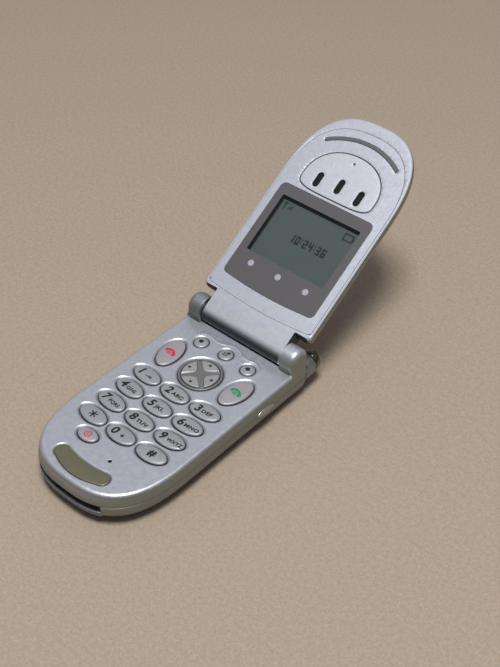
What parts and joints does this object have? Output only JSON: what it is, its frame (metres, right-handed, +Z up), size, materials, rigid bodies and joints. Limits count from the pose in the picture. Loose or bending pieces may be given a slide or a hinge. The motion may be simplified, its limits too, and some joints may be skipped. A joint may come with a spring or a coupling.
{
  "type": "flip phone",
  "caption": "Compact clamshell mobile phone, open: keypad base with navigation disc and retractable antenna, hinged lid with display window and earpiece.",
  "frame": {"origin": "on the flat underside of the base, on its centre line, midway between the microphone end and the hinge end", "axes": "+X to the phone's right, +Y from the microphone end towards the hinge, +Z up out of the keypad"},
  "size_m": [0.0458, 0.1471, 0.0615],
  "materials": {
    "face_silver": "satin metallic silver lacquer",
    "lid_silver": "satin metallic silver lacquer",
    "side_silver": "satin metallic grey lacquer",
    "key_grey": "satin grey moulded keys",
    "chrome_trim": "polished",
    "mat": "silicone",
    "steel": "brushed",
    "board": "solder mask",
    "black_plastic": "fine texture",
    "gold": "plated",
    "badge": "satin",
    "lens": "polished, back printed",
    "lcd": "polished",
    "ear_silver": "satin metallic silver lacquer",
    "strip": "soft",
    "amber_film": "polyimide film",
    "battery_wrap": "label film",
    "antenna_tip": "gloss moulded"
  },
  "bodies": {
    "base": {"front_housing": "face_silver", "rear_housing": "side_silver", "keypad_mat": "mat", "dome_sheet": "steel", "main_board": "board", "rf_shield": "steel", "microphone": "black_plastic", "ringer": "black_plastic", "vibration_motor": "steel", "sim_holder": "steel", "accessory_connector": "black_plastic", "battery_contacts": "gold", "badge_plate": "badge", "housing_screws": "steel", "antenna_sleeve": "side_silver", "hinge_spindle": "steel", "hinge_bush": "steel", "backup_cell": "steel", "battery": "battery_wrap"},
    "lid": {"lid_outer_shell": "lid_silver", "lid_face_panel": "lid_silver", "display_lens": "lens", "lens_gasket": "black_plastic", "lcd_module": "lcd", "ear_pad": "ear_silver", "earpiece_speaker": "black_plastic", "lid_strip": "strip", "lid_board": "board", "lid_screws": "steel", "hinge_cam": "steel", "hinge_spring": "steel", "flex_cable": "amber_film"},
    "key_1": {"key_1": "key_grey"},
    "key_2": {"key_2": "key_grey"},
    "key_3": {"key_3": "key_grey"},
    "key_4": {"key_4": "key_grey"},
    "key_5": {"key_5": "key_grey"},
    "key_6": {"key_6": "key_grey"},
    "key_7": {"key_7": "key_grey"},
    "key_8": {"key_8": "key_grey"},
    "key_9": {"key_9": "key_grey"},
    "key_star": {"key_star": "key_grey"},
    "key_0": {"key_0": "key_grey"},
    "key_hash": {"key_hash": "key_grey"},
    "key_end": {"key_end": "key_grey"},
    "key_send": {"key_send": "key_grey"},
    "key_power": {"key_power": "key_grey"},
    "soft_key_left": {"soft_key_left": "key_grey"},
    "menu_key": {"menu_key": "key_grey"},
    "soft_key_right": {"soft_key_right": "key_grey"},
    "nav_post": {"nav_pivot": "black_plastic"},
    "nav_disc": {"nav_disc": "key_grey"},
    "voice_key": {"voice_key": "side_silver"},
    "volume_rocker": {"volume_rocker": "side_silver"},
    "antenna": {"antenna_rod": "chrome_trim", "antenna_cap": "antenna_tip"},
    "battery_cover": {"battery_cover": "side_silver"},
    "battery_latch": {"battery_latch": "black_plastic"}
  },
  "joints": [
    {"name": "lid_hinge", "type": "hinge", "parent": "base", "child": "lid", "pos_m": [0, 0.0366, 0.0159], "axis": [1, 0, 0], "range_deg": [0, 147.2]},
    {"name": "key_1_press", "type": "slide", "parent": "base", "child": "key_1", "axis": [0, 0, -1], "range_m": [0, 0.0004], "stiffness_N_per_m": 1500},
    {"name": "key_2_press", "type": "slide", "parent": "base", "child": "key_2", "axis": [0, 0, -1], "range_m": [0, 0.0004], "stiffness_N_per_m": 1500},
    {"name": "key_3_press", "type": "slide", "parent": "base", "child": "key_3", "axis": [0, 0, -1], "range_m": [0, 0.0004], "stiffness_N_per_m": 1500},
    {"name": "key_4_press", "type": "slide", "parent": "base", "child": "key_4", "axis": [0, 0, -1], "range_m": [0, 0.0004], "stiffness_N_per_m": 1500},
    {"name": "key_5_press", "type": "slide", "parent": "base", "child": "key_5", "axis": [0, 0, -1], "range_m": [0, 0.0004], "stiffness_N_per_m": 1500},
    {"name": "key_6_press", "type": "slide", "parent": "base", "child": "key_6", "axis": [0, 0, -1], "range_m": [0, 0.0004], "stiffness_N_per_m": 1500},
    {"name": "key_7_press", "type": "slide", "parent": "base", "child": "key_7", "axis": [0, 0, -1], "range_m": [0, 0.0004], "stiffness_N_per_m": 1500},
    {"name": "key_8_press", "type": "slide", "parent": "base", "child": "key_8", "axis": [0, 0, -1], "range_m": [0, 0.0004], "stiffness_N_per_m": 1500},
    {"name": "key_9_press", "type": "slide", "parent": "base", "child": "key_9", "axis": [0, 0, -1], "range_m": [0, 0.0004], "stiffness_N_per_m": 1500},
    {"name": "key_star_press", "type": "slide", "parent": "base", "child": "key_star", "axis": [0, 0, -1], "range_m": [0, 0.0004], "stiffness_N_per_m": 1500},
    {"name": "key_0_press", "type": "slide", "parent": "base", "child": "key_0", "axis": [0, 0, -1], "range_m": [0, 0.0004], "stiffness_N_per_m": 1500},
    {"name": "key_hash_press", "type": "slide", "parent": "base", "child": "key_hash", "axis": [0, 0, -1], "range_m": [0, 0.0004], "stiffness_N_per_m": 1500},
    {"name": "key_end_press", "type": "slide", "parent": "base", "child": "key_end", "axis": [0, 0, -1], "range_m": [0, 0.0004], "stiffness_N_per_m": 1500},
    {"name": "key_send_press", "type": "slide", "parent": "base", "child": "key_send", "axis": [0, 0, -1], "range_m": [0, 0.0004], "stiffness_N_per_m": 1500},
    {"name": "key_power_press", "type": "slide", "parent": "base", "child": "key_power", "axis": [0, 0, -1], "range_m": [0, 0.0004], "stiffness_N_per_m": 1500},
    {"name": "soft_key_left_press", "type": "slide", "parent": "base", "child": "soft_key_left", "axis": [0, 0, -1], "range_m": [0, 0.0004], "stiffness_N_per_m": 1500},
    {"name": "menu_key_press", "type": "slide", "parent": "base", "child": "menu_key", "axis": [0, 0, -1], "range_m": [0, 0.0004], "stiffness_N_per_m": 1500},
    {"name": "soft_key_right_press", "type": "slide", "parent": "base", "child": "soft_key_right", "axis": [0, 0, -1], "range_m": [0, 0.0004], "stiffness_N_per_m": 1500},
    {"name": "nav_tilt_updown", "type": "hinge", "parent": "base", "child": "nav_post", "pos_m": [0, 0.01505, 0.0105], "axis": [1, 0, 0], "range_deg": [-2, 2], "stiffness_Nm_per_rad": 0.12},
    {"name": "nav_tilt_sideways", "type": "hinge", "parent": "nav_post", "child": "nav_disc", "pos_m": [0, 0.01505, 0.0105], "axis": [0, 1, 0], "range_deg": [-2, 2], "stiffness_Nm_per_rad": 0.12},
    {"name": "voice_key_press", "type": "slide", "parent": "base", "child": "voice_key", "axis": [-1, 0, 0], "range_m": [0, 0.0004], "stiffness_N_per_m": 1500},
    {"name": "volume_rock", "type": "hinge", "parent": "base", "child": "volume_rocker", "pos_m": [-0.0206, 0.0195, 0.008], "axis": [0, 0, 1], "range_deg": [-3, 3], "stiffness_Nm_per_rad": 0.1},
    {"name": "antenna_slide", "type": "slide", "parent": "base", "child": "antenna", "axis": [0, 1, 0], "range_m": [0, 0.04]},
    {"name": "battery_cover_slide", "type": "slide", "parent": "base", "child": "battery_cover", "axis": [0, -1, 0], "range_m": [0, 0.006]},
    {"name": "battery_latch_press", "type": "slide", "parent": "base", "child": "battery_latch", "axis": [0, 0, 1], "range_m": [0, 0.0008], "stiffness_N_per_m": 800}
  ]
}
